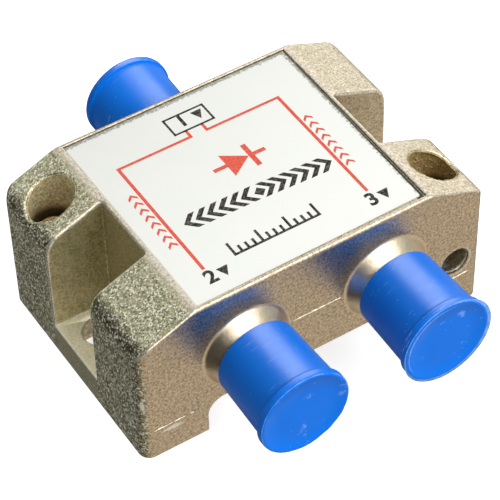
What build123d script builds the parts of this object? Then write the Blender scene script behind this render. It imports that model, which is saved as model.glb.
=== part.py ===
from build123d import *
from math import tan, radians
import os

os.makedirs("parts", exist_ok=True)

# Frame: X runs along the front face, Y from the two outputs at the front towards the input
# at the back, Z up. The feet stand on Z = 0 and the origin is midway between the two ears.

# Casting, outside
core_width = 34.0            # block that holds the circuit, across X
core_depth = 33.2            # front face to back face, Y
core_height = 22.7           # feet to the rim round the label
ear_width = 8.2              # each ear stands out this far from the block
ear_slope = 22.5             # fall of the ear tops towards the outside, degrees
ear_round = 3.0              # round from an ear's top to its outer side
corner_round = 1.6           # upright corners
rim_round = 0.5              # front and back edges of the top
foot_width = 9.35            # each foot, inwards from the outer side
channel_height = 5.15        # the underside stands this far above the feet
channel_round = 2.3          # upper corners of the channel between the feet

# Ears: a flange in the middle, a terminal block at one end and a gusset at the other
flange_gap = 10.4            # length of the open stretch over each flange, Y
flange_height = 4.6          # top of the flange above the feet
flange_plate = 1.8           # thickness of the flange round its hole
pocket_wall = 1.3            # wall left round the pocket under the flange
mount_hole_radius = 2.25
mount_hole_inset = 4.4       # outer side of the ear to the hole's axis
mount_hole_offset = 1.4      # the holes are staggered: back on the left, forward on the right

# Ground terminals: a well from above, a tapped hole under it, a wire hole from the side
terminal_inset = 4.1         # outer side of the ear to the well's axis
terminal_end = 5.85          # end face of the ear to the well's axis
well_radius = 3.1
well_rim = 0.35              # round of the well's upper edge
well_neck_radius = 2.75      # the well narrows to this
well_neck_depth = 5.1        # top of the casting down to the neck
well_floor_depth = 10.0      # and down to the well's floor
tap_radius = 2.0
wire_hole_radius = 1.9
wire_hole_entry = 3.8        # the hole is this wide as far as the screw
wire_seat_radius = 1.7       # and this wide under it
wire_hole_drop = 4.2         # floor of the well to the wire hole's axis
wire_hole_depth = 9.4
wire_hole_chamfer = 0.3
screw_clearance = 0.05       # running clearance of the screw in its tapped hole
screw_head_radius = 2.4
screw_head_height = 2.2
screw_head_round = 0.6
screw_head_seat = 0.5        # the head stands this far off the floor of its well
screw_slot_length = 3.4
screw_slot_width = 0.8
screw_slot_depth = 1.0
screw_tip_gap = 0.3          # the tip stops this far above the wire hole

# Cavity, open downwards
wall_side = 4.3
wall_end = 2.8
wall_top = 2.4
cavity_corner = 1.2
lid_thickness = 0.8
lid_ledge = 0.8              # the lid laps the cavity's edge by this much
lid_gap = 0.08
lid_corner = 1.5
lid_panel_width = 15.0       # raised stiffening panel of the lid, square
lid_panel_rise = 0.5
lid_panel_edge = 0.3
post_radius = 1.3            # four posts that the circuit board seats against
post_inset = 0.4             # how far a post's axis stands from the side wall
post_pitch = 21.2            # from the front posts to the back posts

# Ports
port_side_inset = 6.8        # side of the block to the axis of the output beside it
port_z = 12.6
port_reach = 11.2            # face of the casting to the mouth of a barrel
thread_major = 9.52          # three eighths inch, 32 threads to the inch
thread_minor = 8.7
thread_relief = 2.0          # plain collar between the face and the thread
port_root_radius = 6.1       # flared root, at the face
port_root_reach = 1.3
port_root_round = 1.56       # radius of the flare's hollow
mouth_chamfer = 0.4
barrel_bore_radius = 3.3
port_throat_radius = 2.6
barrel_bore_depth = 8.6

# Insulators and centre contacts
insulator_gap = 0.05
insulator_recess = 0.6       # the insulator's face lies this far inside the mouth
insulator_tail = 0.7         # the insulator stands this far into the cavity
contact_radius = 0.8
contact_gap = 0.05
contact_bore_radius = 0.45
contact_bore_depth = 6.0
contact_setback = 1.4        # the contact starts this far behind the insulator's face
insulator_funnel_radius = 1.5
contact_tab_width = 1.3
contact_tab_thickness = 0.4
contact_tab_length = 3.2

# Circuit board
board_drop = 1.0             # the board's top lies this far below the ports' axes
board_thickness = 1.2
board_gap = 0.25             # board to the cavity's side walls, and to the insulators
lead_radius = 0.25
lead_bend_radius = 0.5
lead_hole_gap = 0.1
lead_stub = 0.9              # a lead shows this far under the board

# Parts on the board
ring_outer_radius = 3.0
ring_inner_radius = 1.5
ring_height = 2.4
ring_round = 0.2
ring_wire = 0.4
ring_wire_gap = 0.05
ring_turns = 7
ring_turn_angle = 46.0       # from one turn to the next, degrees
matching_ring_y = 5.0
splitting_ring_y = -3.4
disc_radius = 2.0
disc_thickness = 1.4
disc_round = 0.63
disc_lift = 0.7
disc_lead_pitch = 2.6
disc_offset = 3.5            # a disc stands this far behind the wall that its port passes
disc_side_step = 4.2         # and this far to the side of the port's axis, towards the middle
resistor_radius = 0.85
resistor_length = 3.6
resistor_round = 0.42
resistor_lead_pitch = 6.0
resistor_y = -8.6
diode_radius = 1.0
diode_length = 3.6
diode_round = 0.25
diode_lead_pitch = 6.2
diode_edge = 2.75            # side edge of the board to the diode's axis
diode_y = -3.2
choke_core_radius = 0.9
choke_flange_radius = 1.7
choke_flange_width = 0.7
choke_length = 5.6
choke_lead_pitch = 7.6
choke_wire_gap = 0.05
choke_winding_radius = 1.5
choke_edge = 2.75            # side edge of the board to the choke's axis
choke_y = 5.6
body_lift = 0.25             # round bodies clear the board by this much

# Label
label_margin = 0.45          # label to the side of its recess
label_thickness = 0.2
label_corner = 0.3
label_turn = -0.45           # it is stuck on slightly askew, degrees
recess_rim_side = 0.6        # rim left between the recess and the ears
recess_rim_end = 0.65        # rim left along the front and back faces
recess_drop = 0.45

# Dust caps
cap_gap = 0.08               # cap over the thread's crests
cap_wall = 0.66              # at the open end
cap_draft = 0.33             # the tube is this much wider in radius at its closed end
cap_mouth_gap = 0.6          # mouth of the barrel to the cap's closed end
cap_end = 1.1                # thickness of the closed end and its flange
cap_flange_radius = 6.2
cap_flange_round = 0.3
cap_lip_round = 0.2
cap_start_gap = 0.2          # start of the thread to the cap's open end

# Values that follow from those above
core_half = core_width / 2
depth_half = core_depth / 2
outer_half = core_half + ear_width
ear_edge_z = core_height - ear_width * tan(radians(ear_slope))
channel_half = outer_half - foot_width
mount_hole_x = outer_half - mount_hole_inset
terminal_x = outer_half - terminal_inset
terminal_y = depth_half - terminal_end
well_neck_z = core_height - well_neck_depth
well_floor_z = core_height - well_floor_depth
wire_hole_z = well_floor_z - wire_hole_drop
port_x = core_half - port_side_inset
cavity_half_x = core_half - wall_side
cavity_half_y = depth_half - wall_end
cavity_top_z = core_height - wall_top
lid_half_x = cavity_half_x + lid_ledge
lid_half_y = cavity_half_y + lid_ledge
thread_crest = thread_major / 2
thread_root = thread_minor / 2
board_half_x = cavity_half_x - board_gap
board_half_y = cavity_half_y - insulator_tail - board_gap
board_top_z = port_z - board_drop
diode_x = board_half_x - diode_edge
choke_x = board_half_x - choke_edge
board_low_z = board_top_z - board_thickness
recess_width = core_width - 2 * recess_rim_side
recess_depth = core_depth - 2 * recess_rim_end
ear_middle_x = (core_half + outer_half) / 2
cap_bore = thread_crest + cap_gap
over = 1.0                   # a cutting tool passes the surface by this much
near = 0.01                  # an edge this close to a place is taken as lying on it

# Each port: name, X of its axis, and the side it faces, -1 to the front, 1 to the back
ports = (
    ("input", 0.0, 1),
    ("output_left", -port_x, -1),
    ("output_right", port_x, -1),
)
# Each ear: name and side; the right ear is the left one turned half round about Z
ears = (("left", -1), ("right", 1))


def port_plane(x, side, reach=0.0):
    """Plane on a port's axis, with its normal pointing out of the mouth."""
    return Plane(origin=(x, side * (depth_half + reach), port_z), x_dir=(1, 0, 0), z_dir=(0, side, 0))


def port_profile_plane(x, side):
    """Plane through a port's axis: local X is the radius, local Y runs out of the mouth."""
    return Plane(origin=(x, side * depth_half, port_z), x_dir=(0, 0, 1), z_dir=(-side, 0, 0))


def port_axis(x, side):
    return Axis((x, side * depth_half, port_z), (0, side, 0))


# The casting: block, ears and three barrels in one piece
with BuildPart() as housing:
    with BuildSketch(Plane.XZ):
        with BuildLine():
            Polyline(
                (-outer_half, 0), (outer_half, 0), (outer_half, ear_edge_z), (core_half, core_height),
                (-core_half, core_height), (-outer_half, ear_edge_z), close=True,
            )
        make_face()
    extrude(amount=depth_half, both=True)
    ear_edges = housing.edges().filter_by(Axis.Y).filter_by_position(
        Axis.Z, ear_edge_z - near, ear_edge_z + near)
    fillet(ear_edges, ear_round)
    # upright corners
    with BuildSketch(Plane.XY):
        RectangleRounded(2 * outer_half, core_depth, corner_round)
    extrude(amount=core_height + over, mode=Mode.INTERSECT)
    rim_edges = housing.edges().filter_by(Axis.X).group_by(Axis.Z)[-1]
    fillet(rim_edges, rim_round)
    # channel under the block, from front to back
    with BuildSketch(Plane.XZ):
        with BuildLine():
            FilletPolyline(
                (-channel_half, -over), (-channel_half, channel_height), (channel_half, channel_height),
                (channel_half, -over), radius=channel_round,
            )
            Line((channel_half, -over), (-channel_half, -over))
        make_face()
    extrude(amount=depth_half + over, both=True, mode=Mode.SUBTRACT)
    # open stretch over each flange, and the pocket under it
    for name, side in ears:
        with BuildSketch(Plane.XY.offset(flange_height)):
            with Locations((side * (core_half + ear_width), 0)):
                Rectangle(2 * ear_width, flange_gap)
        extrude(amount=core_height, mode=Mode.SUBTRACT)
        with BuildSketch(Plane.XY):
            with Locations((side * ear_middle_x, 0)):
                RectangleRounded(ear_width - 2 * pocket_wall, flange_gap - pocket_wall, pocket_wall / 2)
        extrude(amount=flange_height - flange_plate, mode=Mode.SUBTRACT)
        with BuildSketch(Plane.XY):
            with Locations((side * mount_hole_x, -side * mount_hole_offset)):
                Circle(mount_hole_radius)
        extrude(amount=flange_height + over, mode=Mode.SUBTRACT)
    # ground terminal at one end of each ear
    for name, side in ears:
        place = (side * terminal_x, -side * terminal_y)
        steps = ((well_radius, well_neck_z), (well_neck_radius, well_floor_z), (tap_radius, wire_hole_z))
        for radius, low_z in steps:
            with BuildSketch(Plane.XY.offset(low_z)):
                with Locations(place):
                    Circle(radius)
            extrude(amount=core_height - low_z, mode=Mode.SUBTRACT)
        wire_plane = Plane(origin=(place[0], -side * depth_half, wire_hole_z), z_dir=(0, side, 0))
        for radius, depth in ((wire_hole_radius, wire_hole_entry), (wire_seat_radius, wire_hole_depth)):
            with BuildSketch(wire_plane):
                Circle(radius)
            extrude(amount=depth, mode=Mode.SUBTRACT)
        well_edges = housing.edges().filter_by(
            lambda edge: edge.center().Z > well_neck_z + over
            and abs(edge.center().X - place[0]) < well_radius
            and abs(edge.center().Y - place[1]) < well_radius
        )
        fillet(well_edges, well_rim)
        wire_edges = housing.edges().filter_by(GeomType.CIRCLE).filter_by(
            lambda edge: abs(edge.radius - wire_hole_radius) < near
            and abs(edge.center().Y + side * depth_half) < near
        )
        chamfer(wire_edges, wire_hole_chamfer)
    # flared root and threaded barrel of each port
    for name, x, side in ports:
        with BuildSketch(port_profile_plane(x, side)):
            with BuildLine():
                Line((0, -over), (port_root_radius, -over))
                Line((port_root_radius, -over), (port_root_radius, 0))
                RadiusArc((port_root_radius, 0), (thread_crest, port_root_reach), port_root_round)
                Polyline(
                    (thread_crest, port_root_reach), (thread_crest, thread_relief),
                    (thread_root, thread_relief), (thread_root, port_reach - mouth_chamfer),
                    (thread_root - mouth_chamfer, port_reach), (0, port_reach), (0, -over),
                )
            make_face()
        revolve(axis=port_axis(x, side))
    # bore of each port, through into the cavity
    for name, x, side in ports:
        with BuildSketch(port_plane(x, side, port_reach - barrel_bore_depth)):
            Circle(barrel_bore_radius)
        extrude(amount=barrel_bore_depth + over, mode=Mode.SUBTRACT)
        with BuildSketch(port_plane(x, side, -wall_end - over)):
            Circle(port_throat_radius)
        extrude(amount=wall_end + port_reach, mode=Mode.SUBTRACT)
    # cavity with its lid seat
    with BuildSketch(Plane.XY.offset(channel_height)):
        RectangleRounded(2 * cavity_half_x, 2 * cavity_half_y, cavity_corner)
    extrude(amount=cavity_top_z - channel_height, mode=Mode.SUBTRACT)
    with BuildSketch(Plane.XY.offset(channel_height)):
        RectangleRounded(2 * lid_half_x, 2 * lid_half_y, lid_corner)
    extrude(amount=lid_thickness, mode=Mode.SUBTRACT)
    # posts that the circuit board seats against
    with BuildSketch(Plane.XY.offset(board_top_z)):
        with GridLocations(2 * (cavity_half_x - post_inset), post_pitch, 2, 2):
            Circle(post_radius)
    extrude(amount=cavity_top_z - board_top_z + over)
    # shallow recess for the label
    with BuildSketch(Plane.XY.offset(core_height - recess_drop)):
        Rectangle(recess_width, recess_depth)
    extrude(amount=recess_drop + over, mode=Mode.SUBTRACT)

housing.part.label = "housing"
export_step(housing.part, "parts/housing.step")

# Pressed steel lid that closes the cavity from below, with a raised panel
with BuildPart() as base_lid:
    with BuildSketch(Plane.XY.offset(channel_height)):
        RectangleRounded(2 * (lid_half_x - lid_gap), 2 * (lid_half_y - lid_gap), lid_corner)
    extrude(amount=lid_thickness)
    with BuildSketch(Plane.XY.offset(channel_height)):
        RectangleRounded(lid_panel_width, lid_panel_width, lid_corner)
    extrude(amount=-lid_panel_rise)
    panel_edges = base_lid.faces().sort_by(Axis.Z)[0].edges()
    fillet(panel_edges, lid_panel_edge)

base_lid.part.label = "base_lid"
export_step(base_lid.part, "parts/base_lid.step")

# Label, stuck on the floor of its recess
label_z = core_height - recess_drop
with BuildPart() as top_label:
    with BuildSketch(Plane.XY.offset(label_z)):
        RectangleRounded(
            recess_width - 2 * label_margin, recess_depth - 2 * label_margin, label_corner,
            rotation=label_turn,
        )
    extrude(amount=label_thickness)

top_label.part.label = "top_label"
export_step(top_label.part, "parts/top_label.step")

# Insulator of each port: fills the barrel, steps down through the wall into the cavity
insulator_front = port_reach - insulator_recess
insulator_step = port_reach - barrel_bore_depth
insulator_back = -wall_end - insulator_tail
contact_front = insulator_front - contact_setback
contact_hole_radius = contact_radius + contact_gap
for name, x, side in ports:
    with BuildPart() as insulator:
        with BuildSketch(port_profile_plane(x, side)):
            with BuildLine():
                Polyline(
                    (contact_hole_radius, insulator_back),
                    (port_throat_radius - insulator_gap, insulator_back),
                    (port_throat_radius - insulator_gap, insulator_step),
                    (barrel_bore_radius - insulator_gap, insulator_step),
                    (barrel_bore_radius - insulator_gap, insulator_front),
                    (insulator_funnel_radius, insulator_front),
                    (contact_bore_radius, contact_front),
                    (contact_hole_radius, contact_front),
                    close=True,
                )
            make_face()
        revolve(axis=port_axis(x, side))
    insulator.part.label = name + "_insulator"
    export_step(insulator.part, "parts/" + name + "_insulator.step")

# Centre contact of each port: a sprung tube with a flat tab that lies on the board
for name, x, side in ports:
    tab_end = insulator_back - contact_tab_length
    tab_middle = side * (depth_half + (insulator_back + tab_end) / 2)
    with BuildPart() as contact:
        with BuildSketch(port_plane(x, side, insulator_back)):
            Circle(contact_radius)
        extrude(amount=contact_front - insulator_back)
        with BuildSketch(port_plane(x, side, contact_front - contact_bore_depth)):
            Circle(contact_bore_radius)
        extrude(amount=contact_bore_depth + over, mode=Mode.SUBTRACT)
        with BuildSketch(Plane.XY.offset(board_top_z)):
            with Locations((x, tab_middle)):
                Rectangle(contact_tab_width, contact_tab_length)
        extrude(amount=contact_tab_thickness)
    contact.part.label = name + "_contact"
    export_step(contact.part, "parts/" + name + "_contact.step")

# Where the leads of the parts on the board pass through it
disc_places = []
for name, x, side in ports:
    inwards = -1 if x > 0 else 1
    disc_places.append((name, x + inwards * disc_side_step, side * (cavity_half_y - disc_offset)))
lead_places = []
for name, x, y in disc_places:
    lead_places += [(x - disc_lead_pitch / 2, y), (x + disc_lead_pitch / 2, y)]
for way in (-1, 1):
    lead_places.append((way * resistor_lead_pitch / 2, resistor_y))
    for ear_name, side in ears:
        lead_places.append((side * diode_x, diode_y + way * diode_lead_pitch / 2))
        lead_places.append((side * choke_x, choke_y + way * choke_lead_pitch / 2))

with BuildPart() as circuit_board:
    with BuildSketch(Plane.XY.offset(board_low_z)):
        RectangleRounded(2 * board_half_x, 2 * board_half_y, cavity_corner)
        with Locations(*lead_places):
            Circle(lead_radius + lead_hole_gap, mode=Mode.SUBTRACT)
    extrude(amount=board_thickness)

circuit_board.part.label = "circuit_board"
export_step(circuit_board.part, "parts/circuit_board.step")

# Ferrite rings, each with its winding of separate turns that stand on the board
ring_low_z = board_top_z + ring_wire + ring_wire_gap
ring_middle_radius = (ring_outer_radius + ring_inner_radius) / 2
turn_window_width = ring_outer_radius - ring_inner_radius + 2 * ring_wire_gap
turn_window_height = ring_height + 2 * ring_wire_gap
for name, y in (("matching", matching_ring_y), ("splitting", splitting_ring_y)):
    with BuildPart() as ring_core:
        with BuildSketch(Plane.XY.offset(ring_low_z)):
            with Locations((0, y)):
                Circle(ring_outer_radius)
                Circle(ring_inner_radius, mode=Mode.SUBTRACT)
        extrude(amount=ring_height)
        fillet(ring_core.edges(), ring_round)
    ring_core.part.label = name + "_core"
    export_step(ring_core.part, "parts/" + name + "_core.step")

    turn_middle_z = board_top_z + ring_wire + turn_window_height / 2
    with BuildPart() as winding:
        with Locations((0, y, turn_middle_z)):
            with PolarLocations(
                ring_middle_radius, ring_turns, angular_range=ring_turns * ring_turn_angle,
            ):
                Box(turn_window_width + 2 * ring_wire, ring_wire, turn_window_height + 2 * ring_wire)
                Box(turn_window_width, 2 * ring_wire, turn_window_height, mode=Mode.SUBTRACT)
    winding.part.label = name + "_winding"
    export_step(winding.part, "parts/" + name + "_winding.step")


def straight_leads(places, top_z):
    """Upright leads from a part's body down through the board."""
    with BuildPart() as leads:
        with BuildSketch(Plane.XY.offset(board_low_z - lead_stub)):
            with Locations(*places):
                Circle(lead_radius)
        extrude(amount=top_z - board_low_z + lead_stub)
    return leads.part


def bent_leads(middle_x, middle_y, axis_z, pitch, length, along_y):
    """Two leads that leave a lying part along its axis and turn down through the board."""
    reach = pitch / 2 - length / 2 + lead_radius
    with BuildPart() as leads:
        for way in (-1, 1):
            if along_y:
                corner = (middle_x, middle_y + way * pitch / 2, 0)
                outwards = (0, way, 0)
                across = (way, 0, 0)
            else:
                corner = (middle_x + way * pitch / 2, middle_y, 0)
                outwards = (way, 0, 0)
                across = (0, -way, 0)
            with BuildLine(Plane(origin=corner, x_dir=outwards, z_dir=across)) as route:
                FilletPolyline(
                    (-reach, axis_z), (0, axis_z), (0, board_low_z - lead_stub), radius=lead_bend_radius)
            with BuildSketch(Plane(origin=route.line @ 0, z_dir=route.line % 0)):
                Circle(lead_radius)
            sweep(path=route.line)
    return leads.part


# Disc capacitor behind each port
disc_z = board_top_z + disc_lift + disc_radius
for name, x, y in disc_places:
    disc_leads = straight_leads(
        [(x - disc_lead_pitch / 2, y), (x + disc_lead_pitch / 2, y)], disc_z - disc_lift)
    with BuildPart() as capacitor:
        with BuildSketch(Plane(origin=(x, y + disc_thickness / 2, disc_z), z_dir=(0, -1, 0))):
            Circle(disc_radius)
        extrude(amount=disc_thickness)
        fillet(capacitor.edges(), disc_round)
        add(disc_leads)
    capacitor.part.label = name + "_capacitor"
    export_step(capacitor.part, "parts/" + name + "_capacitor.step")

# Resistor that isolates the two outputs, lying across the board
resistor_z = board_top_z + body_lift + resistor_radius
resistor_leads = bent_leads(
    0, resistor_y, resistor_z, resistor_lead_pitch, resistor_length, along_y=False)
with BuildPart() as isolation_resistor:
    with BuildSketch(Plane(origin=(-resistor_length / 2, resistor_y, resistor_z), z_dir=(1, 0, 0))):
        Circle(resistor_radius)
    extrude(amount=resistor_length)
    fillet(isolation_resistor.edges(), resistor_round)
    add(resistor_leads)

isolation_resistor.part.label = "isolation_resistor"
export_step(isolation_resistor.part, "parts/isolation_resistor.step")

# One diode and one choke on each side carry the supply current past the splitter
diode_z = board_top_z + body_lift + diode_radius
choke_z = board_top_z + body_lift + choke_flange_radius
for name, side in ears:
    diode_leads = bent_leads(
        side * diode_x, diode_y, diode_z, diode_lead_pitch, diode_length, along_y=True)
    with BuildPart() as diode:
        with BuildSketch(Plane(
            origin=(side * diode_x, diode_y + diode_length / 2, diode_z), z_dir=(0, -1, 0),
        )):
            Circle(diode_radius)
        extrude(amount=diode_length)
        fillet(diode.edges(), diode_round)
        add(diode_leads)
    diode.part.label = name + "_diode"
    export_step(diode.part, "parts/" + name + "_diode.step")

    choke_leads = bent_leads(
        side * choke_x, choke_y, choke_z, choke_lead_pitch, choke_length, along_y=True)
    with BuildPart() as choke_core:
        with BuildSketch(Plane(
            origin=(side * choke_x, choke_y + choke_length / 2, choke_z), z_dir=(0, -1, 0),
        )):
            Circle(choke_core_radius)
        extrude(amount=choke_length)
        for low in (0, choke_length - choke_flange_width):
            with BuildSketch(Plane(
                origin=(side * choke_x, choke_y + choke_length / 2 - low, choke_z), z_dir=(0, -1, 0),
            )):
                Circle(choke_flange_radius)
            extrude(amount=choke_flange_width)
        add(choke_leads)
    choke_core.part.label = name + "_choke_core"
    export_step(choke_core.part, "parts/" + name + "_choke_core.step")

    winding_length = choke_length - 2 * choke_flange_width - 2 * choke_wire_gap
    with BuildPart() as choke_winding:
        with BuildSketch(Plane(
            origin=(side * choke_x, choke_y + winding_length / 2, choke_z), z_dir=(0, -1, 0),
        )):
            Circle(choke_winding_radius)
            Circle(choke_core_radius + choke_wire_gap, mode=Mode.SUBTRACT)
        extrude(amount=winding_length)
    choke_winding.part.label = name + "_choke_winding"
    export_step(choke_winding.part, "parts/" + name + "_choke_winding.step")

# Clamp screw of each ground terminal
screw_head_low = well_floor_z + screw_head_seat
screw_tip_z = wire_hole_z + wire_hole_radius + screw_tip_gap
for name, side in ears:
    with BuildPart() as screw:
        with BuildSketch(Plane.XY.offset(screw_head_low)):
            with Locations((side * terminal_x, -side * terminal_y)):
                Circle(screw_head_radius)
        extrude(amount=screw_head_height)
        fillet(screw.edges().group_by(Axis.Z)[-1], screw_head_round)
        for turn in (0, 90):
            with BuildSketch(Plane.XY.offset(screw_head_low + screw_head_height)):
                with Locations((side * terminal_x, -side * terminal_y)):
                    Rectangle(screw_slot_length, screw_slot_width, rotation=turn)
            extrude(amount=-screw_slot_depth, mode=Mode.SUBTRACT)
        with BuildSketch(Plane.XY.offset(screw_tip_z)):
            with Locations((side * terminal_x, -side * terminal_y)):
                Circle(tap_radius - screw_clearance)
        extrude(amount=screw_head_low - screw_tip_z)
    screw.part.label = name + "_ground_screw"
    export_step(screw.part, "parts/" + name + "_ground_screw.step")

# Dust caps, pushed over the threads
cap_outside = cap_bore + cap_wall
cap_open = thread_relief + cap_start_gap
cap_inside_end = port_reach + cap_mouth_gap
cap_closed = cap_inside_end + cap_end
for name, x, side in ports:
    with BuildPart() as cap:
        with BuildSketch(port_profile_plane(x, side)):
            with BuildLine():
                Polyline(
                    (cap_bore, cap_open), (cap_outside, cap_open),
                    (cap_outside + cap_draft, cap_inside_end), (cap_flange_radius, cap_inside_end),
                    (cap_flange_radius, cap_closed), (0, cap_closed), (0, cap_inside_end),
                    (cap_bore, cap_inside_end), close=True,
                )
            make_face()
        revolve(axis=port_axis(x, side))
        outer_rims = cap.edges().filter_by(GeomType.CIRCLE).filter_by(
            lambda edge: abs(edge.radius - cap_flange_radius) < near)
        fillet(outer_rims, cap_flange_round)
        lip = cap.edges().filter_by(GeomType.CIRCLE).filter_by(
            lambda edge: abs(edge.radius - cap_outside) < near)
        fillet(lip, cap_lip_round)
    cap.part.label = name + "_cap"
    export_step(cap.part, "parts/" + name + "_cap.step")
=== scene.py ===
import math
from functools import partial

import bmesh
import bpy
from bpy.props import FloatProperty, FloatVectorProperty, PointerProperty
from mathutils import Matrix, Vector


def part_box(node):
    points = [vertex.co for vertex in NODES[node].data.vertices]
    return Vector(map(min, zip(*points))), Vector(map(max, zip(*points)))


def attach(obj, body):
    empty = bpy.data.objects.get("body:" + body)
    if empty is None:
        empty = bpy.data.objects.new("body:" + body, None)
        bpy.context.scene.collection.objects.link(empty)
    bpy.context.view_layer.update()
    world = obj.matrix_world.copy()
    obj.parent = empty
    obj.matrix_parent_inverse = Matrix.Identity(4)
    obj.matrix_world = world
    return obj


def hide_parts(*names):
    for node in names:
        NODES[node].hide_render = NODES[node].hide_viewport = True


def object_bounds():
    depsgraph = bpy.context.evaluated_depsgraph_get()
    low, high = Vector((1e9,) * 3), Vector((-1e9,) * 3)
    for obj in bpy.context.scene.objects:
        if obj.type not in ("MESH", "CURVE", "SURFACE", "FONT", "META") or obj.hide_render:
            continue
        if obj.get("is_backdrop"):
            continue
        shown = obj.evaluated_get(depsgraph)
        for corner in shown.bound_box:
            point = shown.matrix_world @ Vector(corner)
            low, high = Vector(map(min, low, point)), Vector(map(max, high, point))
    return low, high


bl_info = {
    "name": "Coaxial Splitter Dresser",
    "version": (1, 0, 0),
    "blender": (4, 5, 0),
    "location": "3D View > Sidebar > Splitter",
    "description": "Gives a packed coaxial splitter its finishes, threads, print and cast marks",
    "category": "Object",
}

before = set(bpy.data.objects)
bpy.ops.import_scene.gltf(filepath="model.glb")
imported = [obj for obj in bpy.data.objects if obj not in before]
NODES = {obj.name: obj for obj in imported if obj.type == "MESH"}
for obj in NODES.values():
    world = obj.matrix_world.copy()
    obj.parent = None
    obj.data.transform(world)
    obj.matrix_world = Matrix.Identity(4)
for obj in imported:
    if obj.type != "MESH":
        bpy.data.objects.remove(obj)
CAD_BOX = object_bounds()
MM = 0.001

# how far apart two places may be and still count as one
TIGHT, NEAR, LOOSE = 0.02 * MM, 0.05 * MM, 0.1 * MM

# each port is covered by a cap of its name, from which its axis and side are read
PORTS = ("input", "output_left", "output_right")
EARS = ("left", "right")


def linear(code):
    """Linear RGBA of an sRGB colour written as #rrggbb."""
    parts = [int(code[i:i + 2], 16) / 255 for i in (1, 3, 5)]
    return tuple(c / 12.92 if c <= 0.04045 else ((c + 0.055) / 1.055) ** 2.4 for c in parts) + (1.0,)


def per_metre(size_mm):
    """Texture scale at which one feature of a pattern is this many millimetres across."""
    return 1000 / size_mm


def port_place(name):
    """Axis X, axis Z and facing side of a port, read from its cap in the frame."""
    low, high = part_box(name + "_cap")
    return (low.x + high.x) / 2, (low.z + high.z) / 2, 1 if low.y > 0 else -1


def screw_axis(name):
    """Point of a clamp screw's axis at floor level, read from the frame."""
    low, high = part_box(name + "_ground_screw")
    return Vector(((low.x + high.x) / 2, (low.y + high.y) / 2, 0))


PORT_PLACES = {name: port_place(name) for name in PORTS}
SCREW_AXES = {name: screw_axis(name) for name in EARS}
HOUSING_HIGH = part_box("housing")[1]
LABEL_LOW, LABEL_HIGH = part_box("top_label")
CAP_LOW, CAP_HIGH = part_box("input_cap")


# Sizes and colours that a user would change

def length(name, millimetres, text):
    return FloatProperty(name=name, description=text, default=millimetres * MM, unit="LENGTH", precision=5)


def colour(name, code, text):
    return FloatVectorProperty(
        name=name, description=text, default=linear(code), subtype="COLOR", size=4, min=0, max=1)


class SplitterSizes(bpy.types.PropertyGroup):
    """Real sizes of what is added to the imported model."""
    ear_width: length("Ear", 8.2, "Width of the ear at either side of the block")
    face_reach: length("Face", 16.6, "Middle of the casting to its front and back faces")
    # the rounds are burnished, and their material is painted lighter as a painted highlight
    edge_round: length("Edge round", 0.25, "Width of the burnished round on the casting's edges")
    thin_round: length("Thin round", 0.12, "Width of the round in the label's recess")
    root_radius: length("Root radius", 6.1, "Radius of a port's flare at the face in the packed model")
    root_neck: length("Root neck", 4.76, "Radius of a port just outside its flare")
    root_length: length("Root length", 1.4, "How far a port's flare stands out from the face")
    ridge_round: length("Ridge round", 0.4, "Width of the worn round on the ears' most handled edges")
    gap_half: length("Gap half", 5.2, "Half the width of the gap between an ear's two blocks")
    gap_floor: length("Gap floor", 4.6, "Height of the flange's top between an ear's two blocks")
    channel_top: length("Channel top", 5.15, "Height of the underside between the feet")
    pocket_roof: length("Pocket roof", 2.8, "Height of the plate over the pocket in each foot")
    well_floor: length("Well floor", 12.7, "Height of a screw well's floor")
    well_radius: length("Well radius", 3.1, "Radius of a screw well's wide mouth")
    neck_radius: length("Neck radius", 2.75, "Radius of a screw well below its wide mouth")
    neck_top: length("Neck top", 17.6, "Height at which a screw well narrows in the packed model")
    neck_drop: length("Neck drop", 4.3, "How far the narrowing is drawn out downwards as casting draft")
    part_round: length("Part round", 0.05, "Width of the round on the edges of the lid")
    screw_round: length("Screw round", 0.03, "Width of the round on the edges of a clamp screw")
    thread_major: length("Thread crest", 4.76, "Radius at the crests of the port thread")
    thread_minor: length("Thread root", 4.34, "Radius at the roots of the port thread")
    thread_pitch: length("Thread pitch", 0.794, "One turn of the 32 per inch port thread")
    thread_start: length("Thread start", 18.7, "Middle of the casting to the start of the thread")
    thread_length: length("Thread length", 8.7, "Length of the thread along the barrel")
    parting_height: length("Parting height", 5.05, "Height of the die's parting line on the ears")
    bead_radius: length("Flash bead", 0.12, "Radius of the bead left along the die's parting line")
    ink_height: length("Ink height", 0.012, "Thickness of the printed ink")
    red_line: length("Red line", 0.45, "Width of the printed red lines")
    black_line: length("Black line", 0.3, "Width of the printed black outline")
    cap_bore: length("Cap bore", 4.84, "Inner radius of a dust cap")
    cap_mouth: length("Cap mouth", 5.5, "Outer radius of a dust cap at its open end")
    cap_neck: length("Cap neck", 5.83, "Outer radius of a dust cap beside its flange")
    cap_flange: length("Cap flange", 6.2, "Radius of a dust cap's flange")
    cap_end: length("Cap end", 1.1, "Thickness of a dust cap's closed end")
    grain: length("Casting grain", 0.36, "Size of the grains of the cast skin")
    glint: length("Glint", 0.2, "Size of the single grains that flash on the ears")


class SplitterColours(bpy.types.PropertyGroup):
    """Colours of the finishes."""
    nickel: colour("Nickel", "#ECDECB", "Nickel plate")
    nickel_dark: colour("Dull nickel", "#57503F", "Plate in the hollows of the cast grain")
    # the left well's colour is painted light, lighter than the plate against the shade in the well; the right
    # well's colour is darker
    left_well_painted_light: colour("Left well", "#F2E4B4", "Thin yellowish plate in the left screw well")
    right_well: colour("Right well", "#C8B078", "Dull plate in the right screw well")
    label: colour("Label", "#EAEBE5", "Printed film of the label")
    red_ink: colour("Red ink", "#E0533F", "Printed red")
    black_ink: colour("Black ink", "#26241D", "Printed black")
    cap: colour("Cap", "#0167CE", "Moulded blue of the dust caps")


# Nodes, objects and meshes

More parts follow.
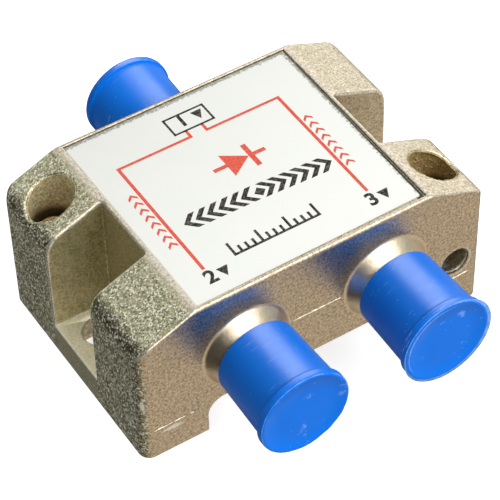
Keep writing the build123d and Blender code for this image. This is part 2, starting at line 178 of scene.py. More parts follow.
def feed(tree, node, *values, **named):
    """Set a node's open inputs in order, and others by name with _ for a space.

    Each value is plain, or an output socket, or a node whose first open output feeds the input.
    """
    pairs = list(zip((socket for socket in node.inputs if socket.enabled), values))
    pairs += [(node.inputs[name.replace("_", " ")], value) for name, value in named.items()]
    for socket, value in pairs:
        if isinstance(value, bpy.types.Node):
            value = next(output for output in value.outputs if output.enabled)
        if isinstance(value, bpy.types.NodeSocket):
            tree.links.new(value, socket)
        else:
            socket.default_value = value


def add_node(tree, kind, *values, **named):
    """Add a node: names in small letters are its settings, and the rest goes to feed.

    A kind without its family's name is a shader node.
    """
    node = tree.nodes.new(kind if "Node" in kind else "ShaderNode" + kind)
    for name in [name for name in named if name.islower()]:
        setattr(node, name, named.pop(name))
    feed(tree, node, *values, **named)
    return node


def new_material(name, **sockets):
    """A material with one Principled shader, whose sockets are set by name.

    Gives the material, what adds a node to it, what feeds its shader, and the place on the piece.
    """
    material = bpy.data.materials.new(name)
    material.use_nodes = True
    tree = material.node_tree
    tree.nodes.clear()
    add = partial(add_node, tree)
    shader = add("BsdfPrincipled", **sockets)
    add("OutputMaterial", shader)
    return material, add, partial(feed, tree, shader), add("TexCoord").outputs["Object"]


def in_scene(name, data):
    """New object of the scene."""
    made = bpy.data.objects.new(name, data)
    bpy.context.scene.collection.objects.link(made)
    return made


def piece(name, mesh, body, slot, *replaced):
    """Link a finished mesh as a piece that rides on a body."""
    mesh.name = name
    made = in_scene(name, mesh)
    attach(made, body)
    if replaced:
        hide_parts(*replaced)
    return made


def smooth(mesh, degrees=35):
    """Smooth shading, with sharp edges where the surface turns by more than this."""
    mesh.shade_smooth()
    mesh.set_sharp_from_angle(angle=math.radians(degrees))


def mesh_from(bm, *materials):
    """Mesh of a finished construction, which is freed."""
    mesh = bpy.data.meshes.new("mesh")
    bm.to_mesh(mesh)
    bm.free()
    for material in materials:
        mesh.materials.append(material)
    return mesh


def evaluated(holder):
    """Plain mesh of an object with its modifiers applied; the object is removed."""
    depsgraph = bpy.context.evaluated_depsgraph_get()
    mesh = bpy.data.meshes.new_from_object(holder.evaluated_get(depsgraph))
    bpy.data.objects.remove(holder)
    return mesh


def sharp_only(edge):
    """Full round on every edge that turns more than 28 degrees."""
    return 1.0 if edge.calc_face_angle() > math.radians(28) else 0.0


def rounded_copy(node, width, *materials, share=sharp_only, reshape=None):
    """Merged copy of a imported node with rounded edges, in materials for its faces and its rounds.

    The width is that of the widest round; share gives each edge's part of it. reshape moves
    vertices of the merged copy first.
    """
    same_point, same_plane = 0.002 * MM, math.radians(0.5)
    bm = bmesh.new()
    bm.from_mesh(NODES[node].data)
    bmesh.ops.remove_doubles(bm, verts=bm.verts, dist=same_point)
    bmesh.ops.dissolve_limit(bm, angle_limit=same_plane, verts=bm.verts, edges=bm.edges)
    if reshape:
        reshape(bm)
    weight = bm.edges.layers.float.new("bevel_weight_edge")
    for edge in bm.edges:
        if edge.is_manifold:
            edge[weight] = share(edge)
    mesh = mesh_from(bm, *materials)
    mesh.shade_smooth()
    holder = in_scene(node + "_rounding", mesh)
    bevel = holder.modifiers.new("rounds", "BEVEL")
    bevel.limit_method = "WEIGHT"
    bevel.width = width
    bevel.segments = 2
    bevel.use_clamp_overlap = False
    bevel.material = len(materials) - 1
    holder.modifiers.new("flat_faces_stay_flat", "WEIGHTED_NORMAL")
    mesh = evaluated(holder)
    draw_in_spikes(mesh)
    if len(materials) > 1:
        keep_hollows_dull(mesh)
    return mesh


def draw_in_spikes(mesh):
    """Close the thin spikes that a round leaves where it meets the start of a corner."""
    most_sides, sharpest, longest = 6, math.radians(12), 0.6 * MM
    bm = bmesh.new()
    bm.from_mesh(mesh)
    spikes = set()
    for face in bm.faces:
        for loop in face.loops:
            if len(face.verts) > most_sides and loop.calc_angle() < sharpest:
                short = min(loop.edge, loop.link_loop_prev.edge, key=bmesh.types.BMEdge.calc_length)
                if short.calc_length() < longest:
                    spikes.add(short)
    bmesh.ops.collapse(bm, edges=list(spikes))
    bm.to_mesh(mesh)
    bm.free()


def keep_hollows_dull(mesh):
    """Give the rounds of inner corners, which nothing rubs, the first material again, without the edges'
    painted highlight.
    """
    bm = bmesh.new()
    bm.from_mesh(mesh)
    turns = [sum(edge.calc_face_angle_signed(0) for edge in face.edges) for face in bm.faces]
    bm.free()
    for polygon, turn in zip(mesh.polygons, turns):
        if turn < 0:
            polygon.material_index = 0


def lathe(profile, segments, material, closed=False):
    """Solid of revolution about Y from (radius, y) points that start and end on the axis, or close a ring."""
    same_point = 0.0001 * MM
    bm = bmesh.new()
    verts = [bm.verts.new((radius, y, 0)) for radius, y in profile]
    edges = [bm.edges.new(pair) for pair in zip(verts, verts[1:] + verts[:1] * closed)]
    bmesh.ops.spin(
        bm, geom=verts + edges, cent=(0, 0, 0), axis=(0, 1, 0), angle=math.tau, steps=segments,
        use_merge=True)
    bmesh.ops.remove_doubles(bm, verts=bm.verts, dist=same_point)
    bmesh.ops.recalc_face_normals(bm, faces=bm.faces)
    return mesh_from(bm, material)


def stand_at_port(mesh, name, y):
    """Turn a mesh made along +Y to face as a port does, and move it to that port's axis."""
    x, z, side = PORT_PLACES[name]
    turn = Matrix.Identity(4) if side > 0 else Matrix.Rotation(math.pi, 4, "Z")
    mesh.transform(Matrix.Translation((x, y, z)) @ turn)
    smooth(mesh, 50)
    return mesh


def arc(centre, radius, start, end, steps):
    """Points of a round from one angle to another, in degrees."""
    angles = [math.radians(start + (end - start) * i / steps) for i in range(steps + 1)]
    return [(centre[0] + radius * math.cos(a), centre[1] + radius * math.sin(a)) for a in angles]


def rounded(corners, radius, steps=4):
    """Outline through corners given anticlockwise, with a round at each."""
    points = []
    for i, corner in enumerate(corners):
        corner = Vector(corner)
        back = (Vector(corners[i - 1]) - corner).normalized() * radius
        ahead = (Vector(corners[(i + 1) % len(corners)]) - corner).normalized() * radius
        for t in (step / steps for step in range(steps + 1)):
            points.append(corner + back * (1 - t) ** 2 + ahead * t ** 2)
    return points


def slab(bm, outline, low, height):
    """Add a flat prism to a mesh under construction, on a closed outline in millimetres."""
    bottom = bm.faces.new([bm.verts.new((x * MM, y * MM, low)) for x, y in outline])
    top = bmesh.ops.extrude_face_region(bm, geom=[bottom])["geom"]
    bmesh.ops.translate(
        bm, vec=(0, 0, height), verts=[v for v in top if isinstance(v, bmesh.types.BMVert)])


# Geometry Nodes trees

def new_tree(name, **inputs):
    """Geometry tree with a geometry in and out and named inputs of given socket types.

    Gives the tree, what adds a node to it, and its inputs.
    """
    tree = bpy.data.node_groups.new(name, "GeometryNodeTree")
    tree.interface.new_socket("Geometry", in_out="INPUT", socket_type="NodeSocketGeometry")
    tree.interface.new_socket("Geometry", in_out="OUTPUT", socket_type="NodeSocketGeometry")
    for key, kind in inputs.items():
        tree.interface.new_socket(key, in_out="INPUT", socket_type="NodeSocket" + kind)
    add = partial(add_node, tree)
    return tree, add, add("NodeGroupInput").outputs


def end_tree(tree, geometry, material):
    """Close a tree: real geometry in one material."""
    real = add_node(tree, "GeometryNodeRealizeInstances", geometry)
    painted = add_node(tree, "GeometryNodeSetMaterial", real, Material=material)
    add_node(tree, "NodeGroupOutput", painted)
    return tree


def grow(tree, start, **values):
    """Plain mesh that a tree makes from a starting mesh, with its inputs set by socket identifier."""
    holder = in_scene(tree.name, start)
    modifier = holder.modifiers.new("tree", "NODES")
    modifier.node_group = tree
    for socket in tree.interface.items_tree:
        if socket.in_out == "INPUT" and socket.name in values:
            modifier[socket.identifier] = values[socket.name]
    return evaluated(holder)


def path_mesh(*paths):
    """Mesh of open paths, for a tree that follows them."""
    mesh = bpy.data.meshes.new("path")
    points = [p for path in paths for p in path]
    edges = []
    first = 0
    for path in paths:
        edges += [(first + i, first + i + 1) for i in range(len(path) - 1)]
        first += len(path)
    mesh.from_pydata(points, edges, [])
    return mesh


def thread_tree():
    """Helical ridge about +Z that fades in and out at its ends."""
    tree, add, given = new_tree(
        "port_thread", Major="Float", Minor="Float", Pitch="Float", Length="Float", Steps="Int",
        Material="Material")
    turns = add("Math", given["Length"], given["Pitch"], operation="DIVIDE")
    helix = add(
        "GeometryNodeCurveSpiral", Resolution=given["Steps"], Rotations=turns, Start_Radius=given["Minor"],
        End_Radius=given["Minor"], Height=given["Length"], Reverse=True)
    upright = add("GeometryNodeSetCurveNormal", helix, mode="Z_UP")
    along = add("GeometryNodeSplineParameter")
    # distance from the nearer end, as a share of the thread, grows the ridge over its first turn
    other = add("Math", 1.0, along, operation="SUBTRACT")
    nearer = add("Math", along, other, operation="MINIMUM")
    fade = add("MapRange", nearer, From_Max=0.06, To_Min=0.05)
    depth = add("Math", given["Major"], given["Minor"], operation="SUBTRACT")
    twice = add("Math", depth, 2.0, operation="MULTIPLY")
    base = add("Math", given["Pitch"], 1.5, operation="MULTIPLY")
    crest = add("Math", given["Pitch"], 0.14, operation="MULTIPLY")
    ridge = add(
        "GeometryNodeCurvePrimitiveQuadrilateral", Height=twice, Bottom_Width=base, Top_Width=crest,
        Offset=0.0, mode="TRAPEZOID")
    turned = add("GeometryNodeTransform", ridge, Rotation=(0, 0, math.radians(-90)))
    swept = add("GeometryNodeCurveToMesh", upright, turned, Scale=fade, Fill_Caps=True)
    return end_tree(tree, swept, given["Material"])


def bead_tree():
    """Uneven bead along given paths, as the flash left where the die halves meet."""
    tree, add, given = new_tree(
        "flash_bead", Radius="Float", Step="Float", Wander="Float", Grain="Float", Seed="Int",
        Material="Material")
    curve = add("GeometryNodeMeshToCurve", given["Geometry"])
    even = add("GeometryNodeResampleCurve", curve, Length=given["Step"], mode="LENGTH")
    place = add("GeometryNodeInputPosition")
    scale = add("Math", 1.0, given["Grain"], operation="DIVIDE")
    noise = add("TexNoise", place, W=given["Seed"], Scale=scale, Detail=3.0, noise_dimensions="4D")
    centred = add("VectorMath", noise.outputs["Color"], (0.5, 0.5, 0.5), operation="SUBTRACT")
    offset = add("VectorMath", centred, Scale=given["Wander"], operation="SCALE")
    wandered = add("GeometryNodeSetPosition", even, Offset=offset)
    thick = add("MapRange", noise, From_Min=0.3, From_Max=0.7, To_Min=0.4, To_Max=1.5)
    ring = add("GeometryNodeCurvePrimitiveCircle", Resolution=7, Radius=given["Radius"])
    swept = add("GeometryNodeCurveToMesh", wandered, ring, Scale=thick, Fill_Caps=True)
    return end_tree(tree, swept, given["Material"])


def bead(tree, name, body, slot, paths, material, radius, wander, grain, seed):
    """Make a piece of uneven beads along paths."""
    mesh = grow(
        tree, path_mesh(*paths), Radius=radius, Step=0.25 * MM, Wander=wander, Grain=grain, Seed=seed,
        Material=material)
    smooth(mesh, 60)
    piece(name, mesh, body, slot)


def grit_tree():
    """Small uneven grains strewn along given paths."""
    tree, add, given = new_tree(
        "grit", Pitch="Float", Spread="Float", Rise="Float", Size="Float", Seed="Int", Material="Material")
    draw = {"Seed": given["Seed"], "data_type": "FLOAT_VECTOR"}
    curve = add("GeometryNodeMeshToCurve", given["Geometry"])
    points = add("GeometryNodeCurveToPoints", curve, Length=given["Pitch"], mode="LENGTH")
    less = add("Math", given["Spread"], -1.0, operation="MULTIPLY")
    low = add("CombineXYZ", less, less, 0.0)
    high = add("CombineXYZ", given["Spread"], given["Spread"], given["Rise"])
    strewn = add("FunctionNodeRandomValue", low, high, **draw)
    moved = add("GeometryNodeSetPosition", points, Offset=strewn)
    grain = add("GeometryNodeMeshIcoSphere", Radius=given["Size"], Subdivisions=1)
    turn = add("FunctionNodeRandomValue", (0, 0, 0), (3.1, 3.1, 3.1), **draw)
    stretch = add("FunctionNodeRandomValue", (0.2, 0.2, 0.2), (1.6, 1.2, 1.0), **draw)
    grains = add("GeometryNodeInstanceOnPoints", moved, Instance=grain, Rotation=turn, Scale=stretch)
    return end_tree(tree, grains, given["Material"])


def row_tree():
    """Row of copies of the starting mesh; every so many copies one is stretched along Y."""
    tree, add, given = new_tree(
        "row", Count="Int", Step="Vector", Start="Vector", Every="Int", Stretch="Float",
        Material="Material")
    line = add(
        "GeometryNodeMeshLine", Count=given["Count"], Start_Location=given["Start"], Offset=given["Step"])
    index = add("GeometryNodeInputIndex")
    rest = add("Math", index, given["Every"], operation="MODULO")
    first = add("Math", rest, 0.5, operation="LESS_THAN")
    grown = add("MapRange", first, To_Min=1.0, To_Max=given["Stretch"])
    scale = add("CombineXYZ", 1.0, grown, 1.0)
    copies = add("GeometryNodeInstanceOnPoints", line, Instance=given["Geometry"], Scale=scale)
    return end_tree(tree, copies, given["Material"])


# Materials

def nickel_plated_die_casting(name, bright=False, depth=0.75):
    """Zinc die casting under nickel plate: a sandy skin with painted glints, most of all on the ears.

    Bright is for edges that handling has burnished, and painted lighter and less metallic as a painted
    highlight; depth is how dull the hollows of the grain are.
    """
    sizes, colours = bpy.context.scene.splitter_sizes, bpy.context.scene.splitter_colours
    material, add, finish, place = new_material(name)
    # on edges: a lighter plate and less metal, a painted highlight over the burnish
    plate, metal_between_glints = (linear("#F6ECDA"), 0.6) if bright else (tuple(colours.nickel), 1.0)
    smoothest, roughest = (0.18, 0.28) if bright else (0.26, 0.38)
    block_relief, ear_relief = (0.08, 0.5) if bright else (0.35, 0.8)
    # grains that a photograph at this distance can show; the real grit is finer
    noise = add("TexNoise", place, Scale=per_metre(sizes.grain / MM), Detail=4.0, Roughness=0.85)
    cells = add("TexVoronoi", place, Scale=per_metre(sizes.glint / MM))
    cell = add("SeparateColor", cells.outputs["Color"])
    patches = add("TexNoise", place, Scale=per_metre(2.4), Detail=4.0, Roughness=0.6)
    coarse = ear_mask(add, place)
    if bright:
        coarse = add("Math", coarse, 0.3, operation="MULTIPLY")
    # hollows between the grains are dull, all over
    dark = add("MapRange", noise, From_Min=0.36, From_Max=0.6, To_Min=depth, To_Max=0.0)
    # single grains on the ears are dull, or carry a painted glint
    low = add("MapRange", cell, From_Min=0.05, From_Max=0.55, To_Min=0.8, To_Max=0.0)
    dull = add("Math", low, coarse, operation="MULTIPLY")
    shade = add("Math", dull, dark, operation="MAXIMUM")
    # the ears' plate leans to olive
    olive = add("Mix", coarse, plate, linear("#DFD9B8"), data_type="RGBA")
    skin = add("Mix", shade, olive, tuple(colours.nickel_dark), data_type="RGBA")
    # painted glints: single grains painted near white, and the scrapes in the same colour
    glint = add("MapRange", cell, From_Min=0.66, From_Max=0.9)
    flash = add("Math", glint, coarse, operation="MULTIPLY")
    flash = add("Math", flash, scrapes(add, place), operation="MAXIMUM")
    skin_with_painted_glints_and_scrapes = add("Mix", flash, skin, linear("#F6F2E0"), data_type="RGBA")
    tone, metal = hollows(add, place, skin_with_painted_glints_and_scrapes, dark, bright)
    # painted glints, scrapes and the edges' painted highlight get less metal, so that their light colour
    # shows from every side
    worn = add("MapRange", flash, To_Min=metal_between_glints, To_Max=0.4)
    share = add("Math", metal, worn, operation="MULTIPLY")
    rough = add("MapRange", patches, From_Min=0.3, From_Max=0.7, To_Min=smoothest, To_Max=roughest)
    relief = add("MapRange", coarse, To_Min=block_relief, To_Max=ear_relief)
    fine = add("Bump", Height=noise, Strength=relief, Distance=0.09 * MM)
    waves = add("Bump", Height=patches, Strength=0.3, Distance=0.12 * MM, Normal=fine)
    finish(Base_Color=tone, Metallic=share, Roughness=rough, Normal=waves)
    return material


def ear_mask(add, place):
    """Share of the coarse skin: full on the left ear's sloping and side faces, half on the right's."""
    sizes = bpy.context.scene.splitter_sizes
    core, face = HOUSING_HIGH.x - sizes.ear_width, sizes.face_reach
    x, y, _ = add("SeparateXYZ", place).outputs
    out = add("Math", x, operation="ABSOLUTE")
    back = add("Math", y, operation="ABSOLUTE")
    share = add("MapRange", out, From_Min=core + 0.3 * MM, From_Max=core + 0.9 * MM)
    inside = add("MapRange", back, From_Min=face - 0.3 * MM, From_Max=face - NEAR, To_Min=1.0, To_Max=0.0)
    block = add("MapRange", back, From_Min=5.0 * MM, From_Max=5.5 * MM, To_Min=0.3)
    side = add("MapRange", x, From_Min=-MM, From_Max=MM, To_Min=1.0, To_Max=0.45)
    for other in (inside, block, side):
        share = add("Math", share, other, operation="MULTIPLY")
    return share


def scrapes(add, place):
    """Share of bare bright metal at the two rubbed spots of the front left corner."""
    # middle and reach of each spot, in millimetres
    spots = (((-21.0, -16.6, 4.2), (3.4, 1.0, 0.8)), ((-24.8, -16.3, 10.0), (0.6, 1.2, 2.6)))
    total = 0.0
    for centre, reach in spots:
        away = add("VectorMath", place, Vector(centre) * MM, operation="SUBTRACT")
        scaled = add("VectorMath", away, Vector(reach) * MM, operation="DIVIDE")
        far = add("VectorMath", scaled, operation="LENGTH")
        inside = add("MapRange", far, From_Min=0.3, To_Min=0.62, To_Max=0.0)
        total = add("Math", total, inside, operation="MAXIMUM")
    rough = add("TexNoise", place, Scale=per_metre(0.9), Detail=5.0, Roughness=0.9)
    both = add("Math", rough, total, operation="ADD")
    return add("MapRange", both, From_Min=0.94, From_Max=1.1)


def hollows(add, place, skin, grain, bright):
    """Colour and metallic share of the screw wells and the left ear's gap: a duller plate, with painted light
    and shade.
    """
    sizes, colours = bpy.context.scene.splitter_sizes, bpy.context.scene.splitter_colours
    edge = 0.3 * MM
    x, y, z = add("SeparateXYZ", place).outputs
    flat = add("VectorMath", place, (1, 1, 0), operation="MULTIPLY")
    aside = add("Math", y, operation="ABSOLUTE")
    gap = add("Math", aside, sizes.gap_half + LOOSE, operation="LESS_THAN")
    left = add("Math", x, 0.0, operation="LESS_THAN")
    above_flange = add("Math", z, sizes.gap_floor - edge, operation="GREATER_THAN")
    for other in (left, above_flange):
        gap = add("Math", gap, other, operation="MULTIPLY")
    level = add("Math", z, sizes.gap_floor, 0.2 * MM, operation="COMPARE")
    floor = add("Math", gap, level, operation="MULTIPLY")
    # a burnished edge keeps its colour, a painted highlight, in the gap, except on the floor
    # the left ear's gap walls get an olive tone, kept light against the shade between the blocks, and its
    # floor is painted near white, painted light in that shade
    tones = ((gap, "#DCD3A8", "#7B7050"), (floor, "#FAF8E8", "#CFCBB0"))
    for share, tone, low_tone in tones[1:] if bright else tones:
        speckled = add("Mix", grain, linear(tone), linear(low_tone), data_type="RGBA")
        skin = add("Mix", share, skin, speckled, data_type="RGBA")
    # painted shade darkens the wells downwards, below a painted highlight band round the wall
    painted_well_shade = add(
        "MapRange", z, From_Min=sizes.neck_top - 2.1 * MM, From_Max=sizes.neck_top - 0.5 * MM,
        To_Min=0.9, To_Max=0.0, interpolation_type="SMOOTHSTEP")
    above_neck = add("Math", z, sizes.neck_top + 0.4 * MM, operation="SUBTRACT")
    height = add("Math", above_neck, operation="ABSOLUTE")
    band = add(
        "MapRange", height, From_Max=1.3 * MM, To_Min=0.75, To_Max=0.0, interpolation_type="SMOOTHSTEP")
    above_floor = add("Math", z, sizes.well_floor - edge, operation="GREATER_THAN")
    dull = floor
    # the painted highlight band is full in the left well and faint in the right; the left well's colour is
    # painted light, lighter and yellower than the plate against the shade in the well, and the right well's
    # is darker
    for name, wall, shine in (("left", colours.left_well_painted_light, 1.0), ("right", colours.right_well, 0.1)):
        far = add("VectorMath", flat, SCREW_AXES[name], operation="DISTANCE")
        close = add("Math", far, sizes.well_radius + 0.03 * MM, operation="LESS_THAN")
        inside = add("Math", close, above_floor, operation="MULTIPLY")
        glow = add("Math", band, shine, operation="MULTIPLY")
        lit = add("Mix", glow, tuple(wall), linear("#F0ECC4"), data_type="RGBA")
        speckled = add("Mix", grain, lit, linear("#4A4028"), data_type="RGBA")
        shaded = add("Mix", painted_well_shade, speckled, linear("#2C2718"), data_type="RGBA")
        skin = add("Mix", inside, skin, shaded, data_type="RGBA")
        dull = add("Math", dull, inside, operation="MAXIMUM")
    slight = add("Math", gap, 0.3, operation="MULTIPLY")
    dull = add("Math", dull, slight, operation="MAXIMUM")
    return skin, add("MapRange", dull, To_Min=1.0, To_Max=0.4)


def printed_label_film():
    """White polyester label film: satin, faintly mottled, scuffed grey along its back and right edges."""
    label = bpy.context.scene.splitter_colours.label
    material, add, finish, place = new_material(
        "printed_label_film", Roughness=0.6, Specular_IOR_Level=0.15)
    mottle = add("TexNoise", place, Scale=per_metre(6), Detail=2.0)
    soft = add("MapRange", mottle, From_Min=0.35, From_Max=0.65, To_Max=0.35)
    white = add("Mix", soft, tuple(label), linear("#E4E8E2"), data_type="RGBA")
    x, y, _ = add("SeparateXYZ", place).outputs
    right = add("MapRange", x, From_Min=LABEL_HIGH.x - 1.3 * MM, From_Max=LABEL_HIGH.x)
    back = add("MapRange", y, From_Min=LABEL_HIGH.y - 1.2 * MM, From_Max=LABEL_HIGH.y)
    edge = add("Math", right, back, operation="MAXIMUM")
    specks = add("TexNoise", place, Scale=per_metre(0.5), Detail=5.0, Roughness=0.75)
    worn = add("Math", specks, edge, operation="MULTIPLY")
    scuffed = add("MapRange", worn, From_Min=0.34, From_Max=0.46, To_Max=0.75)
    film = add("Mix", scuffed, white, linear("#7D8178"), data_type="RGBA")
    bump = add("Bump", Height=mottle, Strength=0.3, Distance=0.05 * MM)
    finish(Base_Color=film, Normal=bump)
    return material


def screen_ink(name, ink):
    """Screen printing ink: thin, satin, a little uneven in its cover."""
    material, add, finish, place = new_material(name, Roughness=0.6, Specular_IOR_Level=0.15)
    cover = add("TexNoise", place, Scale=per_metre(0.35), Detail=3.0, Roughness=0.7)
    thin = add("MapRange", cover, From_Min=0.45, From_Max=0.75, To_Max=0.4)
    finish(Base_Color=add("Mix", thin, tuple(ink), linear("#B9B4A8"), data_type="RGBA"))
    return material


def moulded_blue_polyethylene():
    """Injection-moulded polyethylene: waxy satin that lets a little light in, rubbed and nicked."""
    cap = bpy.context.scene.splitter_colours.cap
    material, add, finish, place = new_material(
        "moulded_blue_polyethylene", IOR=1.51, Specular_IOR_Level=0.12)
    cloud = add("TexNoise", place, Scale=per_metre(5), Detail=3.0)
    blue = add("Mix", cloud, tuple(cap), linear("#0060C2"), data_type="RGBA")
    # rubbing marks run round the cap, so the pattern is squeezed along its axis
    squeezed = add("Mapping", place, Scale=(0.12, 1.0, 0.12))
    rubs = add("TexNoise", squeezed, Scale=per_metre(0.35), Detail=4.0, Roughness=0.7)
    nicks = add("TexVoronoi", place, Scale=per_metre(1.3))
    nick = add("MapRange", nicks, From_Min=0.05, From_Max=0.1, To_Min=1.0, To_Max=0.0)
    pale = add("Math", nick, 0.3, operation="MULTIPLY")
    # streaks where a thumb has pulled the cap, in a few places only
    where = add("TexNoise", place, Scale=per_metre(4.5), Detail=1.0)
    pulled = add("MapRange", where, From_Min=0.5, From_Max=0.62)
    streaks = add("MapRange", rubs, From_Min=0.6, From_Max=0.68, To_Max=0.45)
    scuffs = add("Math", pulled, streaks, pale, operation="MULTIPLY_ADD")
    marked = add("Mix", scuffs, blue, linear("#8FB4F0"), data_type="RGBA")
    rough = add("MapRange", rubs, From_Min=0.3, From_Max=0.7, To_Min=0.28, To_Max=0.44)
    bump = add("Bump", Height=rubs, Strength=0.35, Distance=0.03 * MM)
    finish(Base_Color=marked, Roughness=rough, Normal=bump)
    return material


def plain_finish(name, code, second, feature_mm, roughness, bump_mm, metallic=0.0, bands=()):
    """A finish of two close colours in patches of a given size, with a surface of the same grain.

    Each band across a small part is an axis, a place on it, a width and a colour.
    """
    material, add, finish, place = new_material(name, Metallic=metallic)
    patches = add("TexNoise", place, Scale=per_metre(feature_mm), Detail=4.0, Roughness=0.6)
    share = add("MapRange", patches, From_Min=0.35, From_Max=0.65)
    tone = add("Mix", share, linear(code), linear(second), data_type="RGBA")
    for axis, middle_mm, width_mm, band_code in bands:
        along = add("SeparateXYZ", place).outputs[axis]
        inside = add("Math", along, middle_mm * MM, width_mm * MM / 2, operation="COMPARE")
        tone = add("Mix", inside, tone, linear(band_code), data_type="RGBA")
    rough = add(
        "MapRange", patches, From_Min=0.3, From_Max=0.7, To_Min=roughness * 0.8, To_Max=roughness * 1.2)
    bump = add("Bump", Height=patches, Strength=0.6, Distance=bump_mm * MM)
    finish(Base_Color=tone, Roughness=rough, Normal=bump)
    return material


# Operators, one for each piece or group of like pieces

class SplitterOperator:
    """What the operators share: each makes its pieces from the sizes and colours."""
    bl_options = {"REGISTER", "UNDO"}

    def execute(self, context):
        self.make(context.scene.splitter_sizes, context.scene.splitter_colours)
        return {"FINISHED"}


class SPLITTER_OT_casting(SplitterOperator, bpy.types.Operator):
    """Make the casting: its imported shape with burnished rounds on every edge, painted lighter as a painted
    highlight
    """
    bl_idname = "splitter.casting"
    bl_label = "Casting"

    def make(self, sizes, colours):
        skin = nickel_plated_die_casting("nickel_plated_die_casting")
        burnished = nickel_plated_die_casting("nickel_edge_burnish_and_painted_highlight", bright=True)
        core, top, face = HOUSING_HIGH.x - sizes.ear_width, HOUSING_HIGH.z, sizes.face_reach

        def away(vert, axis):
            """Distance from a screw's axis of a vertex on the step of its well; endless for others."""
            on_step = abs(vert.co.z - sizes.neck_top) < LOOSE
            return (vert.co.xy - axis.xy).length if on_step else math.inf

        def draw_out_necks(bm):
            """Turn the step in each screw well into a long taper, as casting draft leaves it."""
            for axis in SCREW_AXES.values():
                step = [f for f in bm.faces
                        if all(away(v, axis) < sizes.well_radius + LOOSE for v in f.verts)]
                borders = [e for e in bm.edges if {f in step for f in e.link_faces} == {True, False}]
                rings = [e for e in borders
                         if len({abs(away(v, axis) - sizes.neck_radius) < LOOSE for v in e.verts}) == 1]
                inner = {v for e in rings for v in e.verts if away(v, axis) < sizes.neck_radius + LOOSE}
                bmesh.ops.delete(bm, geom=step, context="FACES_ONLY")
                bmesh.ops.delete(bm, geom=[e for e in bm.edges if not e.link_faces], context="EDGES")
                for vert in inner:
                    vert.co.z -= sizes.neck_drop
                bmesh.ops.bridge_loops(bm, edges=rings)
            bmesh.ops.recalc_face_normals(bm, faces=bm.faces)

        def reshape(bm):
            """Taper the wells and draw each port's flare in to its real size."""
            real_share = 0.7
            draw_out_necks(bm)
            for vert in bm.verts:
                for x, z, side in PORT_PLACES.values():
                    out = Vector((vert.co.x - x, vert.co.z - z))
                    on_flare = -NEAR < vert.co.y * side - face < sizes.root_length
                    if on_flare and sizes.root_neck < out.length < sizes.root_radius + NEAR:
                        out.length = sizes.root_neck + (out.length - sizes.root_neck) * real_share
                        vert.co.x, vert.co.z = x + out.x, z + out.y

        def share(edge):
            """Wide where an ear's slope starts and beside the gaps, thin in the label's recess."""
            ends = first, second = [v.co for v in edge.verts]
            # the plates round the lid and over the pockets are too narrow for a round
            for level in (sizes.channel_top, sizes.pocket_roof):
                if all(abs(v.z - level) < TIGHT and abs(v.y) < face - MM for v in ends):
                    return 0.0
            if (abs(first.x - second.x) < NEAR and top - min(first.z, second.z) < NEAR
                    and abs(abs(first.x) - core) < NEAR and edge.calc_length() > MM):
                return 1.0
            if all(abs(abs(v.y) - sizes.gap_half) < TIGHT and abs(v.x) > core - TIGHT
                   and v.z > sizes.gap_floor + LOOSE for v in ends):
                return sharp_only(edge)
            in_recess = all(abs(v.x) < core - 0.5 * MM and abs(v.y) < face - 0.5 * MM
                            and top - v.z < MM for v in ends)
            width = sizes.thin_round if in_recess else sizes.edge_round
            return sharp_only(edge) * width / sizes.ridge_round

        mesh = rounded_copy("housing", sizes.ridge_round, skin, burnished, share=share, reshape=reshape)
        piece("casting_shell", mesh, "casting", "nickel_casting", "housing")


class SPLITTER_OT_roots(SplitterOperator, bpy.types.Operator):
    """Blend each port into the face with a soft root"""
    bl_idname = "splitter.roots"
    bl_label = "Port roots"

    def make(self, sizes, colours):
        polished = nickel_plated_die_casting("polished_nickel_root", depth=0.2)
        # radius and distance from the face, in millimetres
        curve = (
            (4.6, -0.05), (6.4, -0.02), (6.16, 0.03), (6.0, 0.12), (5.88, 0.27), (5.74, 0.5), (5.55, 0.8),
            (5.36, 1.1), (5.14, 1.4), (4.97, 1.64), (4.86, 1.86), (4.8, 2.05), (4.6, 2.05))
        profile = [(radius * MM, away * MM) for radius, away in curve]
        for name in PORTS:
            mesh = lathe(profile, 96, polished, closed=True)
            stand_at_port(mesh, name, PORT_PLACES[name][2] * sizes.face_reach)
            piece(name + "_root", mesh, "casting", "nickel_casting")


class SPLITTER_OT_threads(SplitterOperator, bpy.types.Operator):
    """Cut the port threads: a helical ridge on each barrel"""
    bl_idname = "splitter.threads"
    bl_label = "Port threads"

    def make(self, sizes, colours):
        tree = thread_tree()
        polished = bpy.data.materials["polished_nickel_root"]
        for name, (x, z, side) in PORT_PLACES.items():
            mesh = grow(
                tree, bpy.data.meshes.new("start"), Major=sizes.thread_major, Minor=sizes.thread_minor,
                Pitch=sizes.thread_pitch, Length=sizes.thread_length, Steps=72, Material=polished)
            outwards = Matrix.Rotation(-side * math.radians(90), 4, "X")
            mesh.transform(Matrix.Translation((x, side * sizes.thread_start, z)) @ outwards)
            smooth(mesh)
            piece(name + "_thread", mesh, "casting", "nickel_casting")


